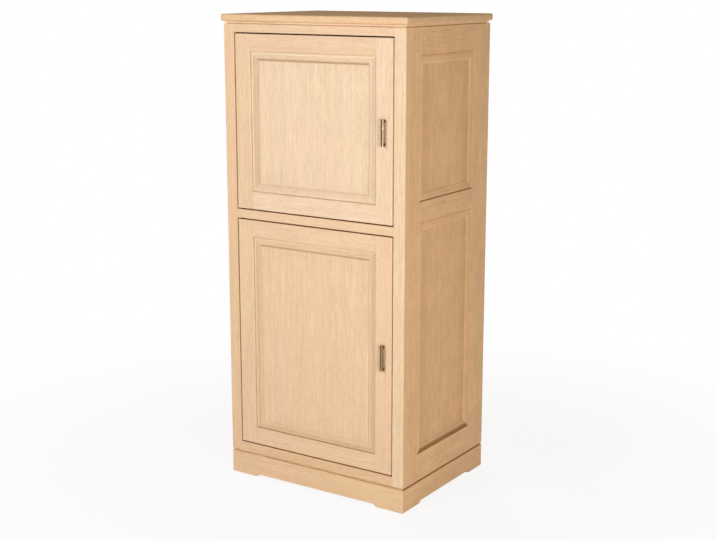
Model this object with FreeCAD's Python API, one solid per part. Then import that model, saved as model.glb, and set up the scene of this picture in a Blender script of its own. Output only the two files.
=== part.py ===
import FreeCAD
import Part
import math
import os

from FreeCAD import Vector

# Driving dimensions of the case, in millimetres
case_width = 620.0
case_depth = 470.0
plinth_height = 74.0
case_height = 1299.0
neck_height = 7.0
top_thickness = 20.0
top_overhang = 7.5
board_thickness = 18.0
back_thickness = 8.0
corner_round = 2.0
case_low_round = 5.0
case_top_chamfer = 1.5
plinth_easing = 1.0
shadow_line_height = 3.0
shadow_line_depth = 6.0

# Face frame round the two doors
face_thickness = 22.0
face_stile_width = 37.0
face_top_rail = 24.0
face_mid_rail = 26.0
face_bottom_rail = 32.0
mid_rail_low = 733.0
face_easing = 0.5
face_tenon_length = 14.0
face_tenon_front = 9.0
face_tenon_back = 17.0
face_tenon_shoulder = 4.0

# Framed leaves: the doors and the two sides are built alike
frame_thickness = 20.0
groove_front = 8.0
groove_back = 14.0
groove_depth = 9.0
tongue_length = 8.0
panel_front = 5.0
panel_back = 16.0
frame_easing = 0.5

# Doors
door_gap = 4.0
door_stile = 54.5
door_top_rail = 48.5
door_bottom_rail = 51.5
door_easing = 0.6

# Side frames, heights above the plinth line and distances from the front of the case
side_front_stile_end = 77.0
side_rear_stile_start = 380.0
side_bottom_rail = 83.0
side_mid_rail_low = 762.0
side_mid_rail_high = 821.0
side_top_rail_low = 1224.0
back_rebate = 10.0

# Moulding inside every frame: each point is how far in from the frame and how far below its face
moulding_width = 25.0
quirk_depth = 3.4
bead_bend = (2.4, 1.45)
bead_crest = (6.5, 0.4)
slope_bend = (13.25, 0.72)
slope_foot = (20.0, 1.7)
round_bend = (22.7, 2.67)
round_foot = (moulding_width, 4.4)
mitre_reach = 20.0

# Neck under the top board
neck_inset = 3.0
neck_strip_width = 60.0
neck_quirk_height = 1.5
neck_quirk_depth = 6.0

# Top board nose
top_corner_round = 7.0
nose_upper_round = 5.0
nose_lower_round = 6.5

# Plinth with bracket feet
plinth_thickness = 20.0
foot_width = 90.0
rear_foot_width = 80.0
toe_rise = 8.0
foot_clearance = 1.5
corner_block = 45.0
corner_block_bevel = 18.0
corner_block_top = 70.0
glide_radius = 12.0
glide_height = 6.0
glide_from_corner = 18.0

# Pivot hinges at the left edge of each door
pivot_from_edge = 16.0
pivot_from_face = 7.0
pin_radius = 3.0
pin_in_door = 18.0
pin_in_rail = 9.0
collar_radius = 6.0
collar_thickness = 3.7
bush_radius = 5.0
bush_length = 10.0
running_clearance = 0.05
seat_clearance = 0.02

# Bar handles on the right stile of each door
handle_length = 75.0
handle_width = 9.0
handle_projection = 13.0
handle_bar_thickness = 6.0
handle_post_height = 8.0
handle_round = 2.0
handle_end_bevel = 1.2
handle_post_inset = 0.6
handle_post_from_end = 1.5

# Magnetic catches behind the face frame and their strike plates
catch_width = 34.0
catch_depth = 14.0
catch_height = 46.0
catch_above_middle = 120.0
catch_easing = 1.5
strike_width = 11.0
strike_height = 40.0
strike_thickness = 1.5
strike_from_edge = 2.5

# Shelves, their pins and the rails at the back
shelf_clearance = 1.0
shelf_front = 40.0
shelf_back = 455.0
shelf_easing = 1.0
upper_shelf_low = 1082.0
lower_shelf_low = 446.0
shelf_pin_radius = 2.5
shelf_pin_length = 16.0
shelf_pin_seat = 8.0
shelf_pin_front = 52.0
shelf_pin_rear = 430.0
back_rail_depth = 20.0
back_top_rail_height = 40.0

# Levels and planes worked out from the dimensions above: the front of the case is y = 0 until the export
half_width = case_width / 2
case_low = plinth_height
shadow_line_low = plinth_height - shadow_line_height
case_high = case_low + case_height
top_low = case_high + neck_height
top_high = top_low + top_thickness
inside_half = half_width - frame_thickness
back_face = case_depth - back_thickness
opening_half = half_width - face_stile_width
door_half = opening_half - door_gap
mid_rail_bottom = case_low + mid_rail_low
mid_rail_top = mid_rail_bottom + face_mid_rail
bottom_rail_top = case_low + face_bottom_rail
top_rail_bottom = case_high - face_top_rail
door_levels = {
    "upper": (mid_rail_top + door_gap, top_rail_bottom - door_gap),
    "lower": (bottom_rail_top + door_gap, mid_rail_bottom - door_gap),
}
pivot_x = -door_half + pivot_from_edge
pivot_y = pivot_from_face
handle_x = door_half - door_stile / 2
front_shift = -(case_depth - handle_projection) / 2

x_axis = Vector(1, 0, 0)
y_axis = Vector(0, 1, 0)
z_axis = Vector(0, 0, 1)
parts = {}


def block(x0, x1, y0, y1, z0, z1):
    """A square-edged piece between two corners."""
    return Part.makeBox(x1 - x0, y1 - y0, z1 - z0, Vector(x0, y0, z0))


def outline_face(start, *steps):
    """A flat face in the XY plane. A step of two numbers is a line, one of four an arc's bend and end."""
    here = Vector(*start, 0)
    edges = []
    for step in steps:
        end = Vector(*step[-2:], 0)
        if len(step) == 4:
            edges.append(Part.Arc(here, Vector(*step[:2], 0), end).toShape())
        else:
            edges.append(Part.LineSegment(here, end).toShape())
        here = end
    edges.append(Part.LineSegment(here, Vector(*start, 0)).toShape())
    return Part.Face(Part.Wire(edges))


def upright(face):
    """The same face stood up, so that its y becomes a height."""
    return face.rotated(Vector(), x_axis, 90)


def turned(*points):
    """A turned piece: points are radius and height, from one end of the axis to the other."""
    polygon = Part.makePolygon([Vector(r, 0, z) for r, z in points + points[:1]])
    return Part.Face(polygon).revolve(Vector(), z_axis, 360)


def edges_on(shape, **planes):
    """The edges that lie wholly in the given planes, such as y=0."""
    picked = []
    for edge in shape.Edges:
        box = edge.BoundBox
        spans = {"x": (box.XMin, box.XMax), "y": (box.YMin, box.YMax), "z": (box.ZMin, box.ZMax)}
        if all(abs(end - level) < 0.01 for axis, level in planes.items() for end in spans[axis]):
            picked.append(edge)
    return picked


def mirrored(shape):
    """The same piece on the left side."""
    return shape.mirror(Vector(), x_axis)


def side_to_right(shape):
    """A piece built facing the front, turned to face right with its x along the depth."""
    return shape.rotated(Vector(), z_axis, 90).translated(Vector(half_width, 0, 0))


def front_rounded_plan(x0, x1, front, back, radius):
    """A rectangle seen from above, with its two front corners rounded."""
    bend = radius * (1 - math.sqrt(0.5))
    return outline_face(
        (x0, back),
        (x0, front + radius),
        (x0 + bend, front + bend, x0 + radius, front),
        (x1 - radius, front),
        (x1 - bend, front + bend, x1, front + radius),
        (x1, back),
    )


def carried_across(side_view):
    """A side view, drawn as depth and height, made as wide as the whole case."""
    return side_to_right(upright(side_view)).extrude(-x_axis * case_width)


def eased_body(low, high, low_round, high_easing):
    """The outside of the case or plinth: front corners and lower edges rounded, upper edges chamfered."""
    bend = low_round * (1 - math.sqrt(0.5))
    plan = front_rounded_plan(-half_width, half_width, 0, case_depth, corner_round)
    front = upright(outline_face(
        (-half_width, low + low_round),
        (-half_width + bend, low + bend, -half_width + low_round, low),
        (half_width - low_round, low),
        (half_width - bend, low + bend, half_width, low + low_round),
        (half_width, high - high_easing),
        (half_width - high_easing, high),
        (-half_width + high_easing, high),
        (-half_width, high - high_easing),
    ))
    side = outline_face(
        (case_depth, low),
        (case_depth, high),
        (high_easing, high),
        (0, high - high_easing),
        (0, low + low_round),
        (bend, low + bend, low_round, low),
    )
    body = plan.translated(z_axis * low).extrude(z_axis * (high - low))
    return body.common(front.extrude(y_axis * case_depth)).common(carried_across(side))


def mitred_ring(section, width, x0, x1, z0, z1):
    """Four strips of one section, mitred at the corners of an upright rectangle."""
    strips = []
    corners = ((x0, z0, z1 - z0), (x0, z1, x1 - x0), (x1, z1, z1 - z0), (x1, z0, x1 - x0))
    for turn, (x, z, length) in enumerate(corners):
        trapezoid = upright(outline_face((0, 0), (width, width), (width, length - width), (0, length)))
        mitre = trapezoid.translated(y_axis * mitre_reach).extrude(-y_axis * 2 * mitre_reach)
        strip = section.extrude(z_axis * length).common(mitre).Solids[0]
        strips.append(strip.rotated(Vector(), y_axis, 90 * turn).translated(Vector(x, 0, z)))
    return strips


def moulding_section():
    """A quirk beside the frame, a bead and a long slope that rounds down to the panel."""
    return outline_face(
        (0, panel_front),
        (0, quirk_depth),
        bead_bend + bead_crest,
        slope_bend + slope_foot,
        round_bend + round_foot,
        (moulding_width, panel_front),
    )


def framed_leaf(x0, x1, left_end, right_start, z0, z1, rails, trim):
    """Stiles, rails, panels and mouldings of one frame with its face at y = 0, trimmed to a body."""
    tenon_x0 = left_end - groove_depth
    tenon_x1 = right_start + groove_depth
    left = block(x0, left_end, 0, frame_thickness, z0, z1)
    left = left.makeChamfer(frame_easing, edges_on(left, x=left_end, y=0))
    left = left.cut(block(tenon_x0, left_end, groove_front, groove_back, z0, z1))
    right = block(right_start, x1, 0, frame_thickness, z0, z1)
    right = right.makeChamfer(frame_easing, edges_on(right, x=right_start, y=0))
    right = right.cut(block(right_start, tenon_x1, groove_front, groove_back, z0, z1))
    leaf = {"stiles": [left.common(trim), right.common(trim)], "rails": [], "panels": [], "mouldings": []}
    for low, high in rails:
        rail = block(left_end, right_start, 0, frame_thickness, low, high)
        rail = rail.makeChamfer(frame_easing, edges_on(rail, y=0))
        rail = rail.fuse(block(tenon_x0, tenon_x1, groove_front, groove_back, low, high))
        if low > z0:
            rail = rail.cut(block(tenon_x0, tenon_x1, groove_front, groove_back, low, low + groove_depth))
        if high < z1:
            rail = rail.cut(block(tenon_x0, tenon_x1, groove_front, groove_back, high - groove_depth, high))
        leaf["rails"].append(rail.removeSplitter().common(trim))
    for (_, low), (high, _) in zip(rails, rails[1:]):
        field = block(left_end, right_start, panel_front, panel_back, low, high)
        tongue = block(
            left_end - tongue_length, right_start + tongue_length,
            groove_front, groove_back, low - tongue_length, high + tongue_length,
        )
        leaf["panels"].append(field.fuse(tongue).removeSplitter())
        leaf["mouldings"] += mitred_ring(
            moulding_section(), moulding_width, left_end, right_start, low, high)
    return leaf


def toe_cut(start, end):
    """The low cut under a plinth board, with slanted ends, along x from start to end."""
    top = foot_clearance + toe_rise
    cut = upright(outline_face((start, 0), (start + top, top), (end - top, top), (end, 0)))
    return cut.extrude(y_axis * plinth_thickness)


def face_piece(x0, x1, z0, z1, *eased):
    """One piece of the face frame, with its edges round the doors eased."""
    piece = block(x0, x1, 0, face_thickness, z0, z1)
    edges = [edge for planes in eased for edge in edges_on(piece, y=0, **planes)]
    return piece.makeChamfer(face_easing, edges).common(case_body)


# The eased outlines that the outside pieces are trimmed to
case_body = eased_body(case_low, case_high, case_low_round, case_top_chamfer)
shadow_line = block(
    -half_width + shadow_line_depth, half_width - shadow_line_depth,
    shadow_line_depth, case_depth, shadow_line_low, plinth_height,
)
plinth_body = eased_body(foot_clearance, shadow_line_low, plinth_easing, plinth_easing).fuse(shadow_line)

# Plinth boards, mitred at the front corners, each cut away between its feet
plinth_inner = half_width - plinth_thickness
back_start = case_depth - plinth_thickness
front_plan = outline_face(
    (-half_width, 0), (half_width, 0),
    (plinth_inner, plinth_thickness), (-plinth_inner, plinth_thickness),
)
side_plan = outline_face(
    (half_width, 0), (half_width, case_depth), (plinth_inner, case_depth), (plinth_inner, plinth_thickness))
front_cut = toe_cut(-half_width + foot_width, half_width - foot_width)
back_cut = front_cut.translated(y_axis * back_start)
side_cut = side_to_right(toe_cut(foot_width, case_depth - rear_foot_width))
parts["plinth_front"] = front_plan.extrude(z_axis * plinth_height).common(plinth_body).cut(front_cut)
parts["plinth_right"] = side_plan.extrude(z_axis * plinth_height).common(plinth_body).cut(side_cut)
parts["plinth_left"] = mirrored(parts["plinth_right"])
parts["plinth_back"] = block(
    -plinth_inner, plinth_inner, back_start, case_depth, foot_clearance, plinth_height).cut(back_cut)

# Glued blocks in the plinth corners, each with a nylon glide under it
block_plan = outline_face(
    (0, 0), (corner_block, 0), (corner_block, corner_block - corner_block_bevel),
    (corner_block - corner_block_bevel, corner_block), (0, corner_block),
)
glide = Part.makeCylinder(glide_radius, glide_height)
blocks = []
glides = []
for x_side in (-1, 1):
    for y_corner, y_side in ((plinth_thickness, 1), (back_start, -1)):
        piece = block_plan.extrude(z_axis * (corner_block_top - glide_height))
        if x_side > 0:
            piece = mirrored(piece)
        if y_side < 0:
            piece = piece.mirror(Vector(), y_axis)
        corner = Vector(x_side * plinth_inner, y_corner, 0)
        inward = Vector(-x_side * glide_from_corner, y_side * glide_from_corner, 0)
        blocks.append(piece.translated(corner + z_axis * glide_height))
        glides.append(glide.translated(corner + inward))
parts["plinth_corner_blocks"] = Part.makeCompound(blocks)
parts["floor_glides"] = Part.makeCompound(glides)

# Face frame: three rails tenoned into two stiles, with a brass bush in each pivot hole
left_stile = face_piece(-half_width, -opening_half, case_low, case_high, {"x": -opening_half})
right_stile = face_piece(opening_half, half_width, case_low, case_high, {"x": opening_half})
bush = turned(
    (pin_radius + running_clearance, 0), (bush_radius, 0),
    (bush_radius, bush_length), (pin_radius + running_clearance, bush_length),
)
bushes = []
# Each rail: its low and high level, and which of those two edges faces a door
face_rails = {
    "front_top_rail": (top_rail_bottom, case_high, (True, False)),
    "front_mid_rail": (mid_rail_bottom, mid_rail_top, (True, True)),
    "front_bottom_rail": (case_low, bottom_rail_top, (False, True)),
}
for name, (low, high, door_sides) in face_rails.items():
    eased = [{"z": level} for level, used in zip((low, high), door_sides) if used]
    rail = face_piece(-opening_half, opening_half, low, high, *eased)
    rail = rail.fuse(block(
        -opening_half - face_tenon_length, opening_half + face_tenon_length,
        face_tenon_front, face_tenon_back, low + face_tenon_shoulder, high - face_tenon_shoulder))
    left_stile = left_stile.cut(rail)
    right_stile = right_stile.cut(rail)
    starts = [start for start, used in zip((low, high - bush_length), door_sides) if used]
    for start in starts:
        seat = Vector(pivot_x, pivot_y, start)
        rail = rail.cut(Part.makeCylinder(bush_radius + seat_clearance, bush_length, seat))
        bushes.append(bush.translated(seat))
    parts[name] = rail
parts["front_stile_left"] = left_stile
parts["front_stile_right"] = right_stile
parts["pivot_bushes"] = Part.makeCompound(bushes)

# Side frames: two panels each, a rebate for the back, and seats for the shelf pins
side_rails = (
    (case_low, case_low + side_bottom_rail),
    (case_low + side_mid_rail_low, case_low + side_mid_rail_high),
    (case_low + side_top_rail_low, case_high),
)
side_trim = case_body.translated(Vector(-half_width, 0, 0)).rotated(Vector(), z_axis, -90)
side = framed_leaf(
    face_thickness, case_depth, side_front_stile_end, side_rear_stile_start,
    case_low, case_high, side_rails, side_trim)
front_stile, rear_stile = side["stiles"]
rear_stile = rear_stile.cut(block(
    back_face, case_depth, frame_thickness - back_rebate, frame_thickness, case_low, case_high))
pin_levels = [low - shelf_pin_radius for low in (upper_shelf_low, lower_shelf_low)]
for level in pin_levels:
    seats = [Vector(x, frame_thickness - shelf_pin_seat, level) for x in (shelf_pin_front, shelf_pin_rear)]
    holes = [
        Part.makeCylinder(shelf_pin_radius + seat_clearance, shelf_pin_seat, seat, y_axis) for seat in seats]
    front_stile = front_stile.cut(holes[0])
    rear_stile = rear_stile.cut(holes[1])
side_pieces = {"front_stile": front_stile, "rear_stile": rear_stile}
side_pieces.update(zip(("bottom_rail", "mid_rail", "top_rail"), side["rails"]))
side_pieces.update(zip(("lower_panel", "upper_panel"), side["panels"]))
side_pieces["mouldings"] = Part.makeCompound(side["mouldings"])
for name, piece in side_pieces.items():
    parts["right_" + name] = side_to_right(piece)
    parts["left_" + name] = mirrored(parts["right_" + name])

# Neck strips with a quirk below them, and the top board with its rounded nose
neck_section = outline_face(
    (neck_inset, -neck_height),
    (neck_inset, -neck_quirk_height),
    (neck_inset + neck_quirk_depth, -neck_quirk_height),
    (neck_inset + neck_quirk_depth, 0),
    (neck_strip_width, 0),
    (neck_strip_width, -neck_height),
)
neck = Part.makeCompound(mitred_ring(
    neck_section, neck_strip_width, -half_width, half_width, 0, case_depth))
parts["neck_moulding"] = neck.rotated(Vector(), x_axis, -90).translated(z_axis * case_high)

top_half = half_width + top_overhang
top = block(-top_half, top_half, -top_overhang, case_depth, top_low, top_high)
top = top.makeFillet(
    top_corner_round,
    edges_on(top, x=-top_half, y=-top_overhang) + edges_on(top, x=top_half, y=-top_overhang))
for level, radius in ((top_high, nose_upper_round), (top_low, nose_lower_round)):
    rim = [edge for edge in edges_on(top, z=level) if edge.BoundBox.YMin < case_depth - 1]
    top = top.makeFillet(radius, rim)
parts["top_board"] = top

# Back, its two rails, the fixed boards and the loose shelves on their pins
rail_front = back_face - back_rail_depth
bottom_board_low = bottom_rail_top - board_thickness
parts["back_panel"] = block(
    -inside_half - back_rebate, inside_half + back_rebate, back_face, case_depth, case_low, case_high)
parts["back_top_rail"] = block(
    -inside_half, inside_half, rail_front, back_face, case_high - back_top_rail_height, case_high)
parts["back_bottom_rail"] = block(
    -inside_half, inside_half, rail_front, back_face, case_low, bottom_board_low)
parts["bottom_board"] = block(
    -inside_half, inside_half, face_thickness, back_face, bottom_board_low, bottom_rail_top)
parts["divider_board"] = block(
    -inside_half, inside_half, face_thickness, back_face, mid_rail_top - board_thickness, mid_rail_top)
shelf_half = inside_half - shelf_clearance
for name, low in (("upper_shelf", upper_shelf_low), ("lower_shelf", lower_shelf_low)):
    shelf = block(-shelf_half, shelf_half, shelf_front, shelf_back, low, low + board_thickness)
    parts[name] = shelf.makeFillet(shelf_easing, edges_on(shelf, y=shelf_front, z=low + board_thickness))
pins = []
for level in pin_levels:
    for y in (shelf_pin_front, shelf_pin_rear):
        start = Vector(inside_half + shelf_pin_seat, y, level)
        pin = Part.makeCylinder(shelf_pin_radius, shelf_pin_length, start, -x_axis)
        pins += [pin, mirrored(pin)]
parts["shelf_pins"] = Part.makeCompound(pins)

# Doors with their pivots, handles and strike plates, and the catches that hold them shut
pin_end = door_gap + pin_in_rail
pivot_pin = turned(
    (0, -pin_in_door), (pin_radius, -pin_in_door), (pin_radius, 0), (collar_radius, 0),
    (collar_radius, collar_thickness), (pin_radius, collar_thickness), (pin_radius, pin_end), (0, pin_end),
)
bar_front = -handle_projection
bar_back = bar_front + handle_bar_thickness
bar_sides = (handle_x - handle_width / 2, handle_x + handle_width / 2)
strike_right = door_half - strike_from_edge
catches = []
for door, (low, high) in door_levels.items():
    middle = (low + high) / 2
    slab = block(-door_half, door_half, 0, frame_thickness, low, high)
    slab = slab.makeChamfer(door_easing, edges_on(slab, y=0))
    leaf = framed_leaf(
        -door_half, door_half, -door_half + door_stile, door_half - door_stile, low, high,
        ((low, low + door_bottom_rail), (high - door_top_rail, high)), slab)
    hinge_stile, lock_stile = leaf["stiles"]
    for start in (low, high - pin_in_door):
        hinge_stile = hinge_stile.cut(Part.makeCylinder(
            pin_radius + seat_clearance, pin_in_door, Vector(pivot_x, pivot_y, start)))
    upper_pin = pivot_pin.translated(Vector(pivot_x, pivot_y, high))
    lower_pin = pivot_pin.mirror(Vector(), z_axis).translated(Vector(pivot_x, pivot_y, low))
    parts[door + "_door_hinge_stile"] = hinge_stile
    parts[door + "_door_lock_stile"] = lock_stile
    parts[door + "_door_bottom_rail"], parts[door + "_door_top_rail"] = leaf["rails"]
    parts[door + "_door_panel"] = leaf["panels"][0]
    parts[door + "_door_moulding"] = Part.makeCompound(leaf["mouldings"])
    parts[door + "_door_pivot_pins"] = Part.makeCompound([upper_pin, lower_pin])

    bar_low = middle - handle_length / 2
    bar_high = middle + handle_length / 2
    bar_plan = front_rounded_plan(*bar_sides, bar_front, bar_back, handle_round)
    bar = bar_plan.translated(z_axis * bar_low).extrude(z_axis * handle_length)
    bar_side = outline_face(
        (bar_back, bar_low),
        (bar_back, bar_high),
        (bar_front + handle_end_bevel, bar_high),
        (bar_front, bar_high - handle_end_bevel),
        (bar_front, bar_low + handle_end_bevel),
        (bar_front + handle_end_bevel, bar_low),
    )
    parts[door + "_handle_bar"] = bar.common(carried_across(bar_side))
    posts = []
    for post_low in (bar_low + handle_post_from_end, bar_high - handle_post_from_end - handle_post_height):
        posts.append(block(
            bar_sides[0] + handle_post_inset, bar_sides[1] - handle_post_inset,
            bar_back, 0, post_low, post_low + handle_post_height))
    parts[door + "_handle_posts"] = Part.makeCompound(posts)

    catch_level = middle + catch_above_middle
    parts[door + "_strike_plate"] = block(
        strike_right - strike_width, strike_right, frame_thickness, frame_thickness + strike_thickness,
        catch_level - strike_height / 2, catch_level + strike_height / 2)
    catch = block(
        inside_half - catch_width, inside_half, face_thickness, face_thickness + catch_depth,
        catch_level - catch_height / 2, catch_level + catch_height / 2)
    catches.append(catch.makeFillet(
        catch_easing, edges_on(catch, x=inside_half - catch_width, y=face_thickness + catch_depth)))
parts["door_catches"] = Part.makeCompound(catches)

# Everything moves so that the origin is on the floor under the middle of the whole piece
os.makedirs("parts", exist_ok=True)
for name, shape in parts.items():
    shape.translated(y_axis * front_shift).exportStep("parts/" + name + ".step")
print(len(parts), "pieces, overall height", top_high)
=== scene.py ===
import math

import bmesh
import bpy
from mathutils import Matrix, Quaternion, Vector


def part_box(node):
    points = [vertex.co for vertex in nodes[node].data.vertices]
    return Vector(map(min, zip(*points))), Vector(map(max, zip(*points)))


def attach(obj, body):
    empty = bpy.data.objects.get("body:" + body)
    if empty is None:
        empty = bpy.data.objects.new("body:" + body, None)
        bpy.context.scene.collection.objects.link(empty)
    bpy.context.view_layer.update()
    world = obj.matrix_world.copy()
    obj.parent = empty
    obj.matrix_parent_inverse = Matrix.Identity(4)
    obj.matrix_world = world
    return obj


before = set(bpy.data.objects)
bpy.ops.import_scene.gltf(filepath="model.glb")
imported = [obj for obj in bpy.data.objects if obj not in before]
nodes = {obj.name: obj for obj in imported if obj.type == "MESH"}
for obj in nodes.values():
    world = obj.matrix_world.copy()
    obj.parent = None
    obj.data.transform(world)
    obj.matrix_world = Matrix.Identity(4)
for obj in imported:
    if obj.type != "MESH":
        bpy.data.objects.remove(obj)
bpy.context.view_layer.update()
print("frame loaded:", len(nodes), "nodes")


# Small helpers for nodes and objects

def addNode(tree, kind, inputs=None, **settings):
    made = tree.nodes.new(kind)
    for name, value in settings.items():
        setattr(made, name, value)
    for name, value in (inputs or {}).items():
        if isinstance(value, bpy.types.NodeSocket):
            tree.links.new(value, made.inputs[name])
        else:
            made.inputs[name].default_value = value
    return made


def addMath(tree, operation, first, second=0.0):
    made = addNode(tree, "ShaderNodeMath", {0: first, 1: second}, operation=operation)
    return made.outputs[0]


def addRange(tree, value, fromLow, fromHigh, toLow=0.0, toHigh=1.0):
    made = addNode(tree, "ShaderNodeMapRange", {
        "Value": value, "From Min": fromLow, "From Max": fromHigh, "To Min": toLow, "To Max": toHigh})
    return made.outputs["Result"]


def mixColour(tree, share, first, second, blend="MIX"):
    made = addNode(tree, "ShaderNodeMix", {0: share, 6: first, 7: second}, data_type="RGBA", blend_type=blend)
    return made.outputs[2]


def mixValue(tree, share, first, second):
    made = addNode(tree, "ShaderNodeMix", {0: share, 2: first, 3: second})
    return made.outputs[0]


def mixVector(tree, share, first, second):
    made = addNode(tree, "ShaderNodeMix", {0: share, 4: first, 5: second}, data_type="VECTOR")
    return made.outputs[1]


def addBump(tree, shader, height, strength, distance):
    bump = addNode(tree, "ShaderNodeBump", {"Height": height, "Strength": strength, "Distance": distance})
    tree.links.new(bump.outputs["Normal"], shader.inputs["Normal"])


def startMaterial(name):
    material = bpy.data.materials.new(name)
    material.use_nodes = True
    return material, material.node_tree, material.node_tree.nodes["Principled BSDF"]


def startFinish(name):
    # a material with the point on the cabinet split into X, Y and Z
    material, tree, shader = startMaterial(name)
    coordinates = addNode(tree, "ShaderNodeTexCoord")
    parts = addNode(tree, "ShaderNodeSeparateXYZ", {"Vector": coordinates.outputs["Object"]})
    return material, tree, shader, parts


def dress(nodeName, material):
    nodes[nodeName].data.materials.clear()
    nodes[nodeName].data.materials.append(material)


def deselectAll():
    bpy.ops.object.select_all(action="DESELECT")


def pickOnly(*pieces):
    # the first one becomes active
    deselectAll()
    for piece in pieces:
        piece.select_set(True)
    bpy.context.view_layer.objects.active = pieces[0]


# Oak: growth rings, fibres, pores, flecks and faint patches, all drawn out along the grain

oak = {
    "pale": (0.925, 0.690, 0.497),
    "ringDepth": (0.930, 0.900, 0.855),
    "fibreDepth": (0.880, 0.840, 0.785),
    "fleckDepth": (0.935, 0.915, 0.885, 1.0),
    "pore": (0.520, 0.320, 0.170, 1.0),
    # the next three colours: stain with painted shade for the mouldings and panels, painted shade in the door
    # gaps, and the pale of the painted highlight on the bead crowns
    "stainAndShade": (0.320, 0.155, 0.055, 1.0),
    "gapShade": (0.420, 0.150, 0.030, 1.0),
    "worn": (1.000, 0.800, 0.610, 1.0),
    "rosyPatch": (1.000, 0.968, 0.962, 1.0),
    "yellowPatch": (0.978, 1.000, 0.930, 1.0),
    "paleCloud": (1.080, 1.085, 1.090, 1.0),
    "darkCloud": (0.920, 0.915, 0.910, 1.0),
    "poreShare": 0.30,
    "poreByRing": (0.40, 0.60, 0.3, 1.0),      # from this span of the rings, to this share of the pores
    "roughByFibre": (0.3, 0.7, 0.48, 0.62),    # from this span of the fibres, to this roughness
    "roughStainAndShade": 0.95,
    "specular": 0.20,
    "fibreRelief": 0.4, "bumpStrength": 0.35, "bumpHeight": 0.00020,
}
# size across and along the grain, and the span of the noise that shows
figures = {
    "ring": {"width": 0.012, "length": 0.45, "detail": 3.0, "bend": 0.4, "span": (0.36, 0.66)},
    "fibre": {"width": 0.0030, "length": 0.10, "detail": 4.0, "bend": 0.0, "span": (0.35, 0.70)},
    "pore": {"width": 0.0008, "length": 0.014, "detail": 2.0, "bend": 0.0, "span": (0.60, 0.72)},
    "patch": {"width": 0.16, "length": 0.48, "detail": 1.0, "bend": 0.0, "span": (0.35, 0.65)},
    "fleck": {"width": 0.0045, "length": 0.022, "detail": 2.0, "bend": 0.6, "span": (0.46, 0.66)},
}
clouds = {"width": 0.075, "length": 0.075, "detail": 2.0, "bend": 0.8, "span": (0.36, 0.64), "seed": 61}
seedSteps = (7.31, 3.17, 5.53)    # each seed moves a pattern on by this much


def drawnNoise(tree, position, figure, seed):
    scale = (1 / figure["width"], 1 / figure["width"], 1 / figure["length"])
    shift = tuple(seed * step for step in seedSteps)
    placed = addNode(tree, "ShaderNodeMapping", {"Vector": position, "Location": shift, "Scale": scale})
    made = addNode(tree, "ShaderNodeTexNoise", {
        "Vector": placed.outputs["Vector"], "Scale": 1.0, "Detail": figure["detail"],
        "Distortion": figure["bend"]})
    return made.outputs["Fac"]


def grainPosition(tree, parts, grain):
    # the same point with the grain's own axis moved to Z
    order = {"x": ("Z", "Y", "X"), "y": ("X", "Z", "Y"), "z": ("X", "Y", "Z")}[grain]
    made = addNode(tree, "ShaderNodeCombineXYZ", {
        place: parts.outputs[axis] for place, axis in zip("XYZ", order)})
    return made.outputs["Vector"]


def toned(colour, tone):
    return tuple(channel * share for channel, share in zip(colour, tone)) + (1.0,)


def oakShade(tree, shader, position, seed, name, stainAndShadeMask=None, sideShadeMask=None, highlightMask=None,
             stainAndShade=oak["stainAndShade"], specular=oak["specular"]):
    noise, shown = {}, {}
    for number, (figure, look) in enumerate(figures.items()):
        noise[figure] = drawnNoise(tree, position, look, seed + number)
        shown[figure] = addRange(tree, noise[figure], *look["span"])
    # the old finish is clouded, more so on the sides, and its clouds run on from piece to piece
    whole = addNode(tree, "ShaderNodeTexCoord").outputs["Object"]
    cloud = addRange(tree, drawnNoise(tree, whole, clouds, clouds["seed"]), *clouds["span"])

    pale = toned(oak["pale"], toneAndLightOf(name))
    colour = mixColour(tree, shown["ring"], pale, toned(pale, oak["ringDepth"]))
    tint = mixColour(tree, shown["patch"], oak["rosyPatch"], oak["yellowPatch"])
    colour = mixColour(tree, 1.0, colour, tint, "MULTIPLY")
    clouding = mixColour(tree, cloud, oak["paleCloud"], oak["darkCloud"])
    colour = mixColour(tree, cloudShare(name), colour, clouding, "MULTIPLY")
    colour = mixColour(tree, shown["fibre"], colour, toned(pale, oak["fibreDepth"]))
    colour = mixColour(tree, shown["fleck"], colour, oak["fleckDepth"], "MULTIPLY")
    poreMask = addMath(tree, "MULTIPLY", shown["pore"], addRange(tree, noise["ring"], *oak["poreByRing"]))
    colour = mixColour(tree, addMath(tree, "MULTIPLY", poreMask, oak["poreShare"]), colour, oak["pore"])
    rough = addRange(tree, noise["fibre"], *oak["roughByFibre"])
    # painted shade: the face frame's outer faces take the sides' warmer, darker shade
    if sideShadeMask is not None:
        colour = mixColour(tree, sideShadeMask, colour, sideShade + (1.0,), "MULTIPLY")
    # painted highlight: paler on the bead crowns
    if highlightMask is not None:
        colour = mixColour(tree, highlightMask, colour, oak["worn"])
    # stain and painted shade, with more roughness
    if stainAndShadeMask is not None:
        colour = mixColour(tree, stainAndShadeMask, colour, stainAndShade)
        rough = mixValue(tree, stainAndShadeMask, rough, oak["roughStainAndShade"])

    relief = addMath(tree, "MULTIPLY", noise["fibre"], oak["fibreRelief"])
    addBump(tree, shader, addMath(tree, "SUBTRACT", relief, poreMask), oak["bumpStrength"], oak["bumpHeight"])
    tree.links.new(colour, shader.inputs["Base Color"])
    tree.links.new(rough, shader.inputs["Roughness"])
    shader.inputs["Specular IOR Level"].default_value = specular


# Frames, rails, panels and boards: which way the grain of each runs

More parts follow.
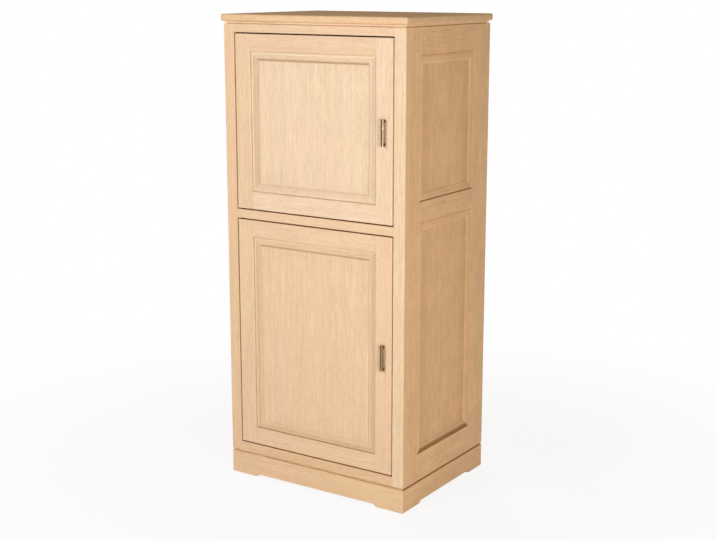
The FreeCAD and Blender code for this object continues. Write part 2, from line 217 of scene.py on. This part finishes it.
oakPieces = {
    "z": ["front_stile_left", "front_stile_right",
          "upper_door_hinge_stile", "upper_door_lock_stile",
          "lower_door_hinge_stile", "lower_door_lock_stile",
          "left_front_stile", "left_rear_stile", "right_front_stile", "right_rear_stile",
          "plinth_corner_blocks"],
    "x": ["front_top_rail", "front_mid_rail", "front_bottom_rail",
          "upper_door_top_rail", "upper_door_bottom_rail", "lower_door_top_rail", "lower_door_bottom_rail",
          "plinth_front", "plinth_back", "back_top_rail", "back_bottom_rail"],
    "y": ["left_top_rail", "left_mid_rail", "left_bottom_rail",
          "right_top_rail", "right_mid_rail", "right_bottom_rail", "plinth_left", "plinth_right"],
}
# glued up from staves: the grain, the direction across the staves and the width of a stave
stavedPieces = {
    "upper_door_panel": ("z", "X", 0.104), "lower_door_panel": ("z", "X", 0.104),
    "left_upper_panel": ("z", "Y", 0.101), "left_lower_panel": ("z", "Y", 0.101),
    "right_upper_panel": ("z", "Y", 0.101), "right_lower_panel": ("z", "Y", 0.101),
    "top_board": ("x", "Y", 0.096),
    "bottom_board": ("x", "Y", 0.110), "divider_board": ("x", "Y", 0.110),
    "upper_shelf": ("x", "Y", 0.104), "lower_shelf": ("x", "Y", 0.104),
}
staveSeedStep = 11.0
mattPieces = ("top_board",)    # oiled, with no sheen

# the pieces differ a little in tone, partly the wood's own tone and partly painted light: the upper door and
# the right face stile paler where the light is strongest, the left stile and the low pieces darker, and the
# sides warmer and darker for their shade
sideShade = (1.02, 0.895, 0.785)
toneAndPaintedLight = {
    "left_": (1.01, 0.93, 0.85), "plinth_left": (1.01, 0.93, 0.85),
    "right_bottom_rail": (1.05, 0.95, 0.84), "right_rear_stile": (1.05, 0.945, 0.835), "right_": sideShade,
    "plinth_right": (1.05, 0.96, 0.86),
    "upper_door_top_rail": (0.96, 0.96, 0.99), "upper_door_hinge_stile": (0.97, 0.98, 0.97),
    "upper_door": (1.015, 1.08, 1.17), "front_stile_right": (1.00, 1.055, 1.10),
    "front_stile_left": (0.98, 0.95, 0.92), "front_top_rail": (0.97, 0.96, 0.98),
    "front_bottom_rail": (0.96, 0.91, 0.87), "plinth_front": (0.97, 0.94, 0.91),
    "top_board": (0.99, 0.94, 0.88),
    "": (1.0, 1.0, 1.0),    # all the others
}
clouded = {"left_": 0.85, "right_": 0.85, "": 0.25}
# the sides' tone on the stiles' outer faces is painted shade
outerEdge = {"from": 0.0010, "full": 0.0004}    # how far in from the outer faces the sides' tone reaches


def firstMatch(table, name):
    return next(value for start, value in table.items() if name.startswith(start))


def toneAndLightOf(name):
    return firstMatch(toneAndPaintedLight, name)


def cloudShare(name):
    return firstMatch(clouded, name)


def stileSideShade(tree, parts, name):
    # painted shade: the outer faces of the face frame take the sides' warmer, darker shade
    if name not in ("front_stile_left", "front_stile_right"):
        return None
    low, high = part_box(name)
    outer = max(abs(low.x), abs(high.x))
    outwards = addMath(tree, "ABSOLUTE", parts.outputs["X"])
    return addRange(tree, outwards, outer - outerEdge["from"], outer - outerEdge["full"])


# Stain and painted shade: painted shade in the gaps under the doors and at the line over the plinth, stain
# and painted shade in the mouldings

edgeStains = {
    "gap": {"share": 0.85, "from": 0.0010, "full": 0.00033, "behindFrom": 0.0006, "behindFull": 0.0012,
            "pieces": ["front_mid_rail", "front_bottom_rail", "upper_door_top_rail", "lower_door_top_rail",
                       "upper_door_hinge_stile", "upper_door_lock_stile", "lower_door_hinge_stile",
                       "lower_door_lock_stile"]},
    "plinthTop": {"from": 0.0065, "full": 0.0030,
                  "pieces": {"plinth_front": 0.20, "plinth_left": 0.65, "plinth_right": 0.65}},
}


def edgeStain(tree, parts, name):
    # painted shade: the up-facing edges in the door gaps and the plinth's top under the shadow line are
    # darkened
    gap, plinthTop = edgeStains["gap"], edgeStains["plinthTop"]
    low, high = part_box(name)
    height = parts.outputs["Z"]
    if name in gap["pieces"]:
        facingUp = addRange(tree, height, high.z - gap["from"], high.z - gap["full"])
        behind = addRange(tree, parts.outputs["Y"], low.y + gap["behindFrom"], low.y + gap["behindFull"],
                          0.0, gap["share"])
        return addMath(tree, "MULTIPLY", facingUp, behind)
    if name in plinthTop["pieces"]:
        return addRange(tree, height, high.z - plinthTop["from"], high.z - plinthTop["full"],
                        0.0, plinthTop["pieces"][name])
    return None


# distances in from the frame's edge, where each band of stain and painted shade starts, is full, begins to
# fade and ends
stainAndShadeBands = {
    "quirk": (-0.0010, 0.0005, 0.0025, 0.0050),
    "bead": (0.0000, 0.0050, 0.0090, 0.0180),
    "slope": (0.0070, 0.0110, 0.0180, 0.0220),
    "foot": (0.0185, 0.0222, 0.0250, 0.0290),
}
# the share of stain and painted shade in the four bands, on each strip; it is most at the foot of the top
# strips and the quirk of the bottom strips, where shade falls
doorStainAndShade = {
    "upper": {"top": (0.10, 0.00, 0.14, 0.60), "bottom": (0.30, 0.00, 0.13, 0.14),
              "near": (0.12, 0.00, 0.28, 0.34), "far": (0.14, 0.20, 0.02, 0.12)},
    "lower": {"top": (0.12, 0.06, 0.06, 0.46), "bottom": (0.62, 0.21, 0.13, 0.10),
              "near": (0.26, 0.00, 0.26, 0.20), "far": (0.18, 0.26, 0.02, 0.05)},
}
sideStainAndShade = {
    "upper": {"top": (0.02, 0.00, 0.02, 0.02), "bottom": (0.92, 0.06, 0.05, 0.00),
              "near": (0.00, 0.00, 0.05, 0.00), "far": (0.05, 0.00, 0.00, 0.05)},
    "lower": {"top": (0.04, 0.00, 0.02, 0.02), "bottom": (0.65, 0.90, 0.10, 0.00),
              "near": (0.00, 0.00, 0.05, 0.00), "far": (0.05, 0.00, 0.00, 0.05)},
}
# the panels are a little darker along their own edges: the band, then the share on upright and level edges
panelEdgeDarkening = {"edges": (0.0230, 0.0290, 0.0330, 0.0800), "door": (0.02, 0.04), "side": (0.15, 0.05)}
# painted highlight: the crown of the bead is painted pale where it catches the light
highlightCrown = (0.0015, 0.0035, 0.0050, 0.0075)
doorHighlight = {"top": 0.20, "bottom": 0.00, "near": 0.60, "far": 0.00}
sideHighlight = {"top": 0.00, "bottom": 0.00, "near": 0.00, "far": 0.70}


def insideEdge(tree, value, low, high):
    # how far a coordinate is inside the nearer of two edges
    fromMiddle = addMath(tree, "ABSOLUTE", addMath(tree, "SUBTRACT", value, (low + high) / 2))
    return addMath(tree, "SUBTRACT", (high - low) / 2, fromMiddle)


def softBand(tree, value, edges):
    rise = addRange(tree, value, edges[0], edges[1])
    fall = addRange(tree, value, edges[2], edges[3], 1.0, 0.0)
    return addMath(tree, "MINIMUM", rise, fall)


def framedMasks(tree, parts, across, ring, stainAndShadeShares, paintedHighlight):
    # three masks for a mitred frame: 1 on the strips that lie level, the stain and painted shade, and the
    # painted highlight on each strip
    sideways, upwards = parts.outputs[across], parts.outputs["Z"]
    sideLow, sideHigh, lowEdge, highEdge = ring
    acrossIn = insideEdge(tree, sideways, sideLow, sideHigh)
    upIn = insideEdge(tree, upwards, lowEdge, highEdge)
    level = addMath(tree, "LESS_THAN", upIn, acrossIn)
    inside = addMath(tree, "MINIMUM", upIn, acrossIn)
    atTop = addMath(tree, "GREATER_THAN", upwards, (lowEdge + highEdge) / 2)
    atFar = addMath(tree, "GREATER_THAN", sideways, (sideLow + sideHigh) / 2)

    def bandOf(edges, shares):
        levelShare = addRange(tree, atTop, 0.0, 1.0, shares["bottom"], shares["top"])
        uprightShare = addRange(tree, atFar, 0.0, 1.0, shares["near"], shares["far"])
        share = mixValue(tree, level, uprightShare, levelShare)
        return addMath(tree, "MULTIPLY", softBand(tree, inside, edges), share)

    stainAndShade = 0.0
    for band, edges in enumerate(stainAndShadeBands.values()):
        shares = {strip: stainAndShadeShares[strip][band] for strip in stainAndShadeShares}
        stainAndShade = addMath(tree, "ADD", bandOf(edges, shares), stainAndShade)
    return level, stainAndShade, bandOf(highlightCrown, paintedHighlight)


def doorRing(door):
    low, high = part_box(door + "_door_moulding")
    return low.x, high.x, low.z, high.z


def sideRing(side, level):
    low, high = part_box(side + "_mouldings")
    midLow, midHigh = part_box(side + "_mid_rail")
    return (low.y, high.y, low.z, midLow.z) if level == "lower" else (low.y, high.y, midHigh.z, high.z)


def panelStainAndShade(tree, parts, name):
    # the foot of the moulding's stain and painted shade reaches a little onto the panel
    words = name.split("_")
    if words[-1] != "panel":
        return None
    if words[1] == "door":
        across, ring, (uprightShare, levelShare) = "X", doorRing(words[0]), panelEdgeDarkening["door"]
        stainAndShade = framedMasks(tree, parts, across, ring, doorStainAndShade[words[0]], doorHighlight)[1]
    else:
        across, ring, (uprightShare, levelShare) = "Y", sideRing(words[0], words[1]), panelEdgeDarkening["side"]
        stainAndShade = framedMasks(tree, parts, across, ring, sideStainAndShade[words[1]], sideHighlight)[1]
    pairs = ((across, ring[:2], uprightShare), ("Z", ring[2:], levelShare))
    for axis, edges, share in pairs:
        band = softBand(tree, insideEdge(tree, parts.outputs[axis], *edges), panelEdgeDarkening["edges"])
        stainAndShade = addMath(tree, "ADD", addMath(tree, "MULTIPLY", band, share), stainAndShade)
    return stainAndShade


def plainOak(name, grain, seed):
    material, tree, shader, parts = startFinish("oak_" + name)
    oakShade(tree, shader, grainPosition(tree, parts, grain), seed, name, edgeStain(tree, parts, name),
             stileSideShade(tree, parts, name), stainAndShade=oak["gapShade"])
    return material


def stavedOak(name, grain, across, staveWidth, seed):
    # each stave takes its own part of the pattern
    material, tree, shader, parts = startFinish("oak_" + name)
    stave = addMath(tree, "FLOOR", addMath(tree, "DIVIDE", parts.outputs[across], staveWidth))
    jump = addNode(tree, "ShaderNodeTexWhiteNoise", {"W": addMath(tree, "ADD", stave, seed * staveSeedStep)},
                   noise_dimensions="1D")
    position = addNode(tree, "ShaderNodeVectorMath", {
        0: grainPosition(tree, parts, grain), 1: jump.outputs["Color"]}, operation="ADD")
    oakShade(tree, shader, position.outputs["Vector"], seed, name, panelStainAndShade(tree, parts, name),
             specular=0.0 if name in mattPieces else oak["specular"])
    return material


seed = 1
for grain, names in oakPieces.items():
    for name in names:
        dress(name, plainOak(name, grain, seed))
        seed += 1
for name, (grain, across, staveWidth) in stavedPieces.items():
    dress(name, stavedOak(name, grain, across, staveWidth, seed))
    seed += 1
print("oak pieces dressed:", seed - 1)


# Mouldings: the grain follows each mitred strip

for door in ("upper", "lower"):
    name = door + "_door_moulding"
    material, tree, shader, parts = startFinish("oak_" + name)
    level, stainAndShade, paintedHighlight = framedMasks(tree, parts, "X", doorRing(door), doorStainAndShade[door], doorHighlight)
    position = mixVector(tree, level, grainPosition(tree, parts, "z"), grainPosition(tree, parts, "x"))
    oakShade(tree, shader, position, seed, name, stainAndShade, highlightMask=paintedHighlight)
    dress(name, material)
    seed += 1

for side in ("left", "right"):
    name = side + "_mouldings"
    material, tree, shader, parts = startFinish("oak_" + name)
    lowerMasks = framedMasks(tree, parts, "Y", sideRing(side, "lower"), sideStainAndShade["lower"], sideHighlight)
    upperMasks = framedMasks(tree, parts, "Y", sideRing(side, "upper"), sideStainAndShade["upper"], sideHighlight)
    midLow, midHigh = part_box(side + "_mid_rail")
    isUpper = addMath(tree, "GREATER_THAN", parts.outputs["Z"], (midLow.z + midHigh.z) / 2)
    level, stainAndShade, paintedHighlight = [
        mixValue(tree, isUpper, below, above) for below, above in zip(lowerMasks, upperMasks)]
    position = mixVector(tree, level, grainPosition(tree, parts, "z"), grainPosition(tree, parts, "y"))
    oakShade(tree, shader, position, seed, name, stainAndShade, highlightMask=paintedHighlight)
    dress(name, material)
    seed += 1

low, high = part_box("neck_moulding")
material, tree, shader, parts = startFinish("oak_neck_moulding")
acrossIn = insideEdge(tree, parts.outputs["X"], low.x, high.x)
alongIn = insideEdge(tree, parts.outputs["Y"], low.y, high.y)
level = addMath(tree, "LESS_THAN", alongIn, acrossIn)
position = mixVector(tree, level, grainPosition(tree, parts, "y"), grainPosition(tree, parts, "x"))
oakShade(tree, shader, position, seed, "neck_moulding")
dress("neck_moulding", material)
print("mouldings dressed")


# Plywood back, metal and plastic

plywood = {
    "face": (0.700, 0.495, 0.315, 1.0), "streak": (0.590, 0.390, 0.230, 1.0),
    "rough": 0.72, "bumpStrength": 0.3, "bumpHeight": 0.0003,
    "broad": {"width": 0.045, "length": 0.9, "detail": 3.0, "bend": 1.2, "seed": 71, "span": (0.35, 0.65)},
    "fine": {"width": 0.0016, "length": 0.05, "detail": 3.0, "bend": 0.0, "seed": 72,
             "span": (0.5, 0.75, 0.0, 0.4)},
}

material, tree, shader, parts = startFinish("plywood_back")
grainPoint = grainPosition(tree, parts, "z")
broad = drawnNoise(tree, grainPoint, plywood["broad"], plywood["broad"]["seed"])
fine = drawnNoise(tree, grainPoint, plywood["fine"], plywood["fine"]["seed"])
colour = mixColour(tree, addRange(tree, broad, *plywood["broad"]["span"]), plywood["face"], plywood["streak"])
colour = mixColour(tree, addRange(tree, fine, *plywood["fine"]["span"]), colour, plywood["streak"])
tree.links.new(colour, shader.inputs["Base Color"])
addBump(tree, shader, fine, plywood["bumpStrength"], plywood["bumpHeight"])
shader.inputs["Roughness"].default_value = plywood["rough"]
dress("back_panel", material)

metals = {
    "aged_brass": {"dark": (0.150, 0.085, 0.035, 1.0), "worn": (0.360, 0.235, 0.115, 1.0),
                   "wornFrom": 0.58, "rough": (0.26, 0.42), "brushWidth": 0.0012, "brushLength": 0.030},
    "turned_brass": {"dark": (0.480, 0.320, 0.130, 1.0), "worn": (0.760, 0.560, 0.270, 1.0),
                     "wornFrom": 0.35, "rough": (0.22, 0.36), "brushWidth": 0.0020, "brushLength": 0.0020},
    "zinc_steel": {"dark": (0.420, 0.420, 0.410, 1.0), "worn": (0.640, 0.640, 0.630, 1.0),
                   "wornFrom": 0.35, "rough": (0.28, 0.45), "brushWidth": 0.0015, "brushLength": 0.0040},
    "burnished_steel": {"dark": (0.060, 0.050, 0.042, 1.0), "worn": (0.110, 0.095, 0.080, 1.0),
                        "wornFrom": 0.45, "rough": (0.42, 0.58), "brushWidth": 0.0015, "brushLength": 0.0040},
}
brushing = {"detail": 3.0, "bend": 0.0, "seed": 81, "span": (0.3, 0.7),
            "bumpStrength": 0.15, "bumpHeight": 0.0001}
wornSpots = {"width": 0.012, "length": 0.016, "detail": 3.0, "bend": 0.0, "seed": 82, "spread": 0.25}
# painted highlight: the rounded long edges of a handle's bar are painted bright where they catch the light,
# dimmer on the lower bar, and its flats stay dark
barHighlightBand = {"full": 0.0011, "until": 0.0018}
handleBars = {
    "upper": dict(metals["aged_brass"], edge=(0.740, 0.585, 0.420, 1.0)),
    "lower": dict(metals["aged_brass"], dark=(0.220, 0.130, 0.055, 1.0), worn=(0.400, 0.260, 0.130, 1.0),
                  edge=(0.520, 0.355, 0.195, 1.0)),
}


def metalMaterial(name, look, barName=None):
    material, tree, shader, parts = startFinish(name)
    position = grainPosition(tree, parts, "z")
    strokes = dict(brushing, width=look["brushWidth"], length=look["brushLength"])
    brushed = drawnNoise(tree, position, strokes, brushing["seed"])
    spots = drawnNoise(tree, position, wornSpots, wornSpots["seed"])
    worn = addRange(tree, spots, look["wornFrom"], look["wornFrom"] + wornSpots["spread"])
    colour = mixColour(tree, worn, look["dark"], look["worn"])
    if barName is not None:
        low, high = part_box(barName)
        acrossIn = insideEdge(tree, parts.outputs["X"], low.x, high.x)
        edge = addRange(tree, acrossIn, barHighlightBand["full"], barHighlightBand["until"], 1.0, 0.0)
        front = addRange(tree, parts.outputs["Y"], low.y + barHighlightBand["full"], low.y + barHighlightBand["until"],
                         1.0, 0.0)
        colour = mixColour(tree, addMath(tree, "MULTIPLY", edge, front), colour, look["edge"])
    tree.links.new(colour, shader.inputs["Base Color"])
    tree.links.new(addRange(tree, brushed, *brushing["span"], *look["rough"]), shader.inputs["Roughness"])
    addBump(tree, shader, brushed, brushing["bumpStrength"], brushing["bumpHeight"])
    shader.inputs["Metallic"].default_value = 1.0
    return material


metalMade = {name: metalMaterial(name, look) for name, look in metals.items()}
for door in ("upper", "lower"):
    bar = door + "_handle_bar"
    dress(bar, metalMaterial("brass_painted_highlight_" + door, handleBars[door], bar))
    dress(door + "_handle_posts", metalMade["aged_brass"])
    dress(door + "_door_pivot_pins", metalMade["burnished_steel"])
    dress(door + "_strike_plate", metalMade["zinc_steel"])
dress("shelf_pins", metalMade["zinc_steel"])
dress("pivot_bushes", metalMade["turned_brass"])

plastics = {
    "floor_glides": {"colour": (0.700, 0.670, 0.600, 1.0), "speck": (0.600, 0.570, 0.500, 1.0),
                     "rough": 0.55},
    "door_catches": {"colour": (0.560, 0.440, 0.300, 1.0), "speck": (0.480, 0.370, 0.245, 1.0),
                     "rough": 0.48},
}
specks = {"width": 0.0012, "length": 0.0012, "detail": 2.0, "bend": 0.0, "seed": 91,
          "bumpStrength": 0.2, "bumpHeight": 0.0001}
for name, look in plastics.items():
    material, tree, shader, parts = startFinish("plastic_" + name)
    mottle = drawnNoise(tree, grainPosition(tree, parts, "z"), specks, specks["seed"])
    tree.links.new(mixColour(tree, mottle, look["colour"], look["speck"]), shader.inputs["Base Color"])
    addBump(tree, shader, mottle, specks["bumpStrength"], specks["bumpHeight"])
    shader.inputs["Roughness"].default_value = look["rough"]
    dress(name, material)
print("plywood, metal and plastic dressed")


# Small fittings: each is modelled once, facing up at the origin, and copied to its places

smoothAngle = 30
drivenTurn = 37    # each screw was driven home to its own angle


def finishPiece(piece, body):
    pickOnly(piece)
    bpy.ops.object.shade_smooth_by_angle(angle=math.radians(smoothAngle))
    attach(piece, body)


def looksUp(face):
    return face.normal.z > 0.9


def selectFaces(piece, wanted):
    # edit mode is on; only the faces that pass the test stay selected
    mesh = bmesh.from_edit_mesh(piece.data)
    for face in mesh.faces:
        face.select_set(wanted(face))
    mesh.select_flush_mode()
    bmesh.update_edit_mesh(piece.data)


def editTop(piece):
    # place and size go into the mesh, and edit mode starts with the top face selected
    bpy.ops.object.transform_apply(location=True, rotation=True, scale=True)
    bpy.ops.object.mode_set(mode="EDIT")
    bpy.ops.mesh.select_mode(type="FACE")
    selectFaces(piece, looksUp)


def startDisc(look, sides):
    # a short round bar along Z, of which the last part stands above the surface at zero
    deselectAll()
    bpy.ops.mesh.primitive_cylinder_add(
        vertices=sides, radius=look["radius"], depth=look["height"] + look["sunk"],
        location=(0, 0, (look["height"] - look["sunk"]) / 2))
    disc = bpy.context.object
    editTop(disc)
    return disc


def cutCross(head, look):
    arms = (look["crossLength"], look["crossWidth"])
    for length, width in (arms, arms[::-1]):
        deselectAll()
        bpy.ops.mesh.primitive_cube_add(
            size=1.0, location=(0, 0, look["height"]), scale=(length, width, 2 * look["crossDepth"]))
        cutter = bpy.context.object
        pickOnly(head)
        cut = head.modifiers.new("cross", "BOOLEAN")
        cut.operation = "DIFFERENCE"
        cut.object = cutter
        bpy.ops.object.modifier_apply(modifier=cut.name)
        bpy.data.objects.remove(cutter)


def copyTo(model, name, places, facing, turnStep):
    copies = []
    for number, place in enumerate(places):
        pickOnly(model)
        bpy.ops.object.duplicate(linked=False)
        copy = bpy.context.object
        turn = Quaternion((0, 0, 1), math.radians(turnStep * number))
        copy.rotation_euler = (Vector(facing).to_track_quat("Z", "Y") @ turn).to_euler()
        copy.location = place
        bpy.ops.object.transform_apply(location=True, rotation=True, scale=True)
        copies.append(copy)
    pickOnly(*copies)
    bpy.ops.object.join()
    piece = bpy.context.object
    piece.name = name
    return piece


screws = {
    "pan": {"radius": 0.0036, "height": 0.0019, "sunk": 0.0010, "crown": 0.0010,
            "crossLength": 0.0042, "crossWidth": 0.0010, "crossDepth": 0.0012},
    "strike": {"radius": 0.0026, "height": 0.0003, "sunk": 0.0010, "crown": 0.0002,
               "crossLength": 0.0030, "crossWidth": 0.0008, "crossDepth": 0.0002},
    "back": {"radius": 0.0034, "height": 0.00015, "sunk": 0.0020, "crown": 0.0001,
             "crossLength": 0.0040, "crossWidth": 0.0010, "crossDepth": 0.0001},
}
screwRound = {"sides": 28, "crownSteps": 4}


def modelScrew(look):
    head = startDisc(look, screwRound["sides"])
    bpy.ops.mesh.bevel(offset=look["crown"], segments=screwRound["crownSteps"], profile=0.5)
    bpy.ops.object.mode_set(mode="OBJECT")
    cutCross(head, look)
    head.data.materials.append(metalMade["zinc_steel"])
    return head


screwModels = {kind: modelScrew(look) for kind, look in screws.items()}


def screwTo(kind, name, places, body):
    # all of them are driven in from behind
    finishPiece(copyTo(screwModels[kind], name, places, (0, 1, 0), drivenTurn), body)


# two screws hold each handle from inside, and two its strike plate
strikeScrewFromEnd = 0.0050
for door in ("upper", "lower"):
    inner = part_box(door + "_door_lock_stile")[1].y
    low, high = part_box(door + "_handle_posts")
    postRadius = (high.x - low.x) / 2
    places = [((low.x + high.x) / 2, inner, z) for z in (low.z + postRadius, high.z - postRadius)]
    screwTo("pan", door + "_handle_screws", places, door + "_door")
    low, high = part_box(door + "_strike_plate")
    places = [((low.x + high.x) / 2, high.y, z)
              for z in (low.z + strikeScrewFromEnd, high.z - strikeScrewFromEnd)]
    screwTo("strike", door + "_strike_screws", places, door + "_door")

# the back is screwed to the rear stiles, the top rail, the divider and the bottom board
backScrews = {"fromEdge": 0.0050, "fromEnd": 0.0260, "down": 7,
              "rows": (0.097, 0.824, 1.353), "across": (-0.15, 0.15)}
low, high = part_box("back_panel")
columnStep = (high.z - low.z - 2 * backScrews["fromEnd"]) / (backScrews["down"] - 1)
places = [(x, high.y, low.z + backScrews["fromEnd"] + step * columnStep)
          for x in (low.x + backScrews["fromEdge"], high.x - backScrews["fromEdge"])
          for step in range(backScrews["down"])]
places += [(x, high.y, z) for z in backScrews["rows"] for x in backScrews["across"]]
screwTo("back", "back_screws", places, "cabinet")
for model in screwModels.values():
    bpy.data.objects.remove(model)

# brass sleeves for the shelf pins, above and below the pins in use
sleeve = {"radius": 0.0036, "wall": 0.0010, "height": 0.0003, "sunk": 0.0020, "cup": 0.00025,
          "easing": 0.0001, "easingSteps": 2, "sides": 24,
          "inside": 0.290, "columns": (-0.1765, 0.2015), "levels": (0.4435, 1.0795),
          "spacing": 0.032, "each": 3}
model = startDisc(sleeve, sleeve["sides"])
bpy.ops.mesh.bevel(offset=sleeve["easing"], segments=sleeve["easingSteps"])
selectFaces(model, lambda face: looksUp(face) and face.calc_center_median().xy.length < sleeve["wall"])
bpy.ops.mesh.inset(thickness=sleeve["wall"])
model.data.materials.append(metalMade["turned_brass"])
model.data.materials.append(metalMade["burnished_steel"])
# painted shade: the shallow cup gets a dark steel floor, which stands in for the shade of a deep hole
bpy.ops.mesh.extrude_region_move(TRANSFORM_OT_translate={"value": (0, 0, -sleeve["cup"])})
model.active_material_index = 1    # the cup is dark
bpy.ops.object.material_slot_assign()
bpy.ops.object.mode_set(mode="OBJECT")
steps = [step for step in range(-sleeve["each"], sleeve["each"] + 1) if step != 0]
for name, side in (("left_pin_sleeves", -1), ("right_pin_sleeves", 1)):
    places = [(side * sleeve["inside"], y, z + step * sleeve["spacing"])
              for y in sleeve["columns"] for z in sleeve["levels"] for step in steps]
    finishPiece(copyTo(model, name, places, (-side, 0, 0), drivenTurn), "cabinet")
bpy.data.objects.remove(model)

# steel poles of the magnetic catches, a little proud of their plastic
pole = {"width": 0.0016, "length": 0.0200, "depth": 0.0024, "proud": 0.0003, "easing": 0.00012,
        "easingSteps": 2, "fromEdge": (0.0036, 0.0076), "height": 0.046}
deselectAll()
bpy.ops.mesh.primitive_cube_add(
    size=1.0, location=(0, 0, pole["proud"] - pole["depth"] / 2),
    scale=(pole["width"], pole["length"], pole["depth"]))
model = bpy.context.object
editTop(model)
bpy.ops.mesh.bevel(offset=pole["easing"], segments=pole["easingSteps"])
bpy.ops.object.mode_set(mode="OBJECT")
model.data.materials.append(metalMade["zinc_steel"])
low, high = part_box("door_catches")
places = [(low.x + inward, low.y, z)
          for z in (low.z + pole["height"] / 2, high.z - pole["height"] / 2) for inward in pole["fromEdge"]]
finishPiece(copyTo(model, "catch_poles", places, (0, -1, 0), 0), "cabinet")
bpy.data.objects.remove(model)
print("fittings added")


# Floor, light and camera

studio = {
    "floorSize": 60.0,
    "floorColour": (0.90, 0.90, 0.90, 1.0),
    "floorRough": 0.9,
    "floorGlow": 0.88,
    "fadeStart": 0.7, "fadeEnd": 1.8,
    "worldColour": (1.0, 0.80, 0.60, 1.0),
    "worldStrength": 0.10,
    "white": (1, 1, 1, 1),
    "aimHeight": 0.78,
}
softboxes = {
    "key_softbox": {"azimuth": -14, "distance": 3.2, "height": 2.2, "size": 1.2, "power": 60.0,
                    "colour": (1, 1, 1)},
    "side_softbox": {"azimuth": 54, "distance": 3.0, "height": 1.2, "size": 0.6, "power": 37.5,
                     "colour": (1.0, 0.95, 0.80)},
    "top_softbox": {"azimuth": 180, "distance": 0.5, "height": 3.6, "size": 0.8, "power": 9.0,
                    "colour": (1.0, 0.90, 0.74)},
    "back_softbox": {"azimuth": 215, "distance": 3.4, "height": 0.8, "size": 1.1, "power": 60.0,
                     "colour": (1.0, 0.96, 0.90)},
}
# where the photo was taken from: width and focal length in its pixels, angles in degrees
photo = {"width": 716, "focal": 1312.0, "place": (2.146, -3.232, 1.501), "yaw": 33.52, "pitch": 12.55,
         "sensor": 36.0}


def seenDirectly(tree):
    path = addNode(tree, "ShaderNodeLightPath")
    seen = addMath(tree, "MAXIMUM", path.outputs["Is Camera Ray"], path.outputs["Is Glossy Ray"])
    return addMath(tree, "MAXIMUM", seen, path.outputs["Is Transmission Ray"])


deselectAll()
bpy.ops.mesh.primitive_plane_add(size=studio["floorSize"], location=(0, 0, 0))
floor = bpy.context.object
floor.name = "floor"
material, tree, shader = startMaterial("pale_floor")
shader.inputs["Base Color"].default_value = studio["floorColour"]
shader.inputs["Roughness"].default_value = studio["floorRough"]
coordinates = addNode(tree, "ShaderNodeTexCoord")
distance = addNode(tree, "ShaderNodeVectorMath", {0: coordinates.outputs["Object"]}, operation="LENGTH")
glow = addRange(tree, distance.outputs["Value"], studio["fadeStart"], studio["fadeEnd"],
                studio["floorGlow"], 1.0)
share = addMath(tree, "MULTIPLY", seenDirectly(tree), glow)
white = addNode(tree, "ShaderNodeEmission", {"Color": studio["white"], "Strength": 1.0})
mixed = addNode(tree, "ShaderNodeMixShader", {
    0: share, 1: shader.outputs["BSDF"], 2: white.outputs["Emission"]})
tree.links.new(mixed.outputs["Shader"], tree.nodes["Material Output"].inputs["Surface"])
floor.data.materials.append(material)

world = bpy.data.worlds.new("studio_world")
bpy.context.scene.world = world
world.use_nodes = True
tree = world.node_tree
ambient = tree.nodes["Background"]
ambient.inputs["Color"].default_value = studio["worldColour"]
ambient.inputs["Strength"].default_value = studio["worldStrength"]
backdrop = addNode(tree, "ShaderNodeBackground", {"Color": studio["white"], "Strength": 1.0})
mixed = addNode(tree, "ShaderNodeMixShader", {
    0: seenDirectly(tree), 1: ambient.outputs["Background"], 2: backdrop.outputs["Background"]})
tree.links.new(mixed.outputs["Shader"], tree.nodes["World Output"].inputs["Surface"])

for name, box in softboxes.items():
    angle = math.radians(box["azimuth"])
    place = Vector((math.sin(angle) * box["distance"], -math.cos(angle) * box["distance"], box["height"]))
    bpy.ops.object.light_add(type="AREA", location=place)
    lamp = bpy.context.object
    lamp.name = name
    lamp.data.size = box["size"]
    lamp.data.energy = box["power"]
    lamp.data.color = box["colour"]
    aim = Vector((0, 0, studio["aimHeight"])) - place
    lamp.rotation_euler = aim.to_track_quat("-Z", "Y").to_euler()

bpy.ops.object.camera_add(location=photo["place"])
camera = bpy.context.object
camera.rotation_euler = (math.radians(90 - photo["pitch"]), 0, math.radians(photo["yaw"]))
camera.data.sensor_width = photo["sensor"]
camera.data.lens = photo["sensor"] * photo["focal"] / photo["width"]
bpy.context.scene.camera = camera
bpy.context.scene.view_settings.view_transform = "Standard"
print("studio ready")
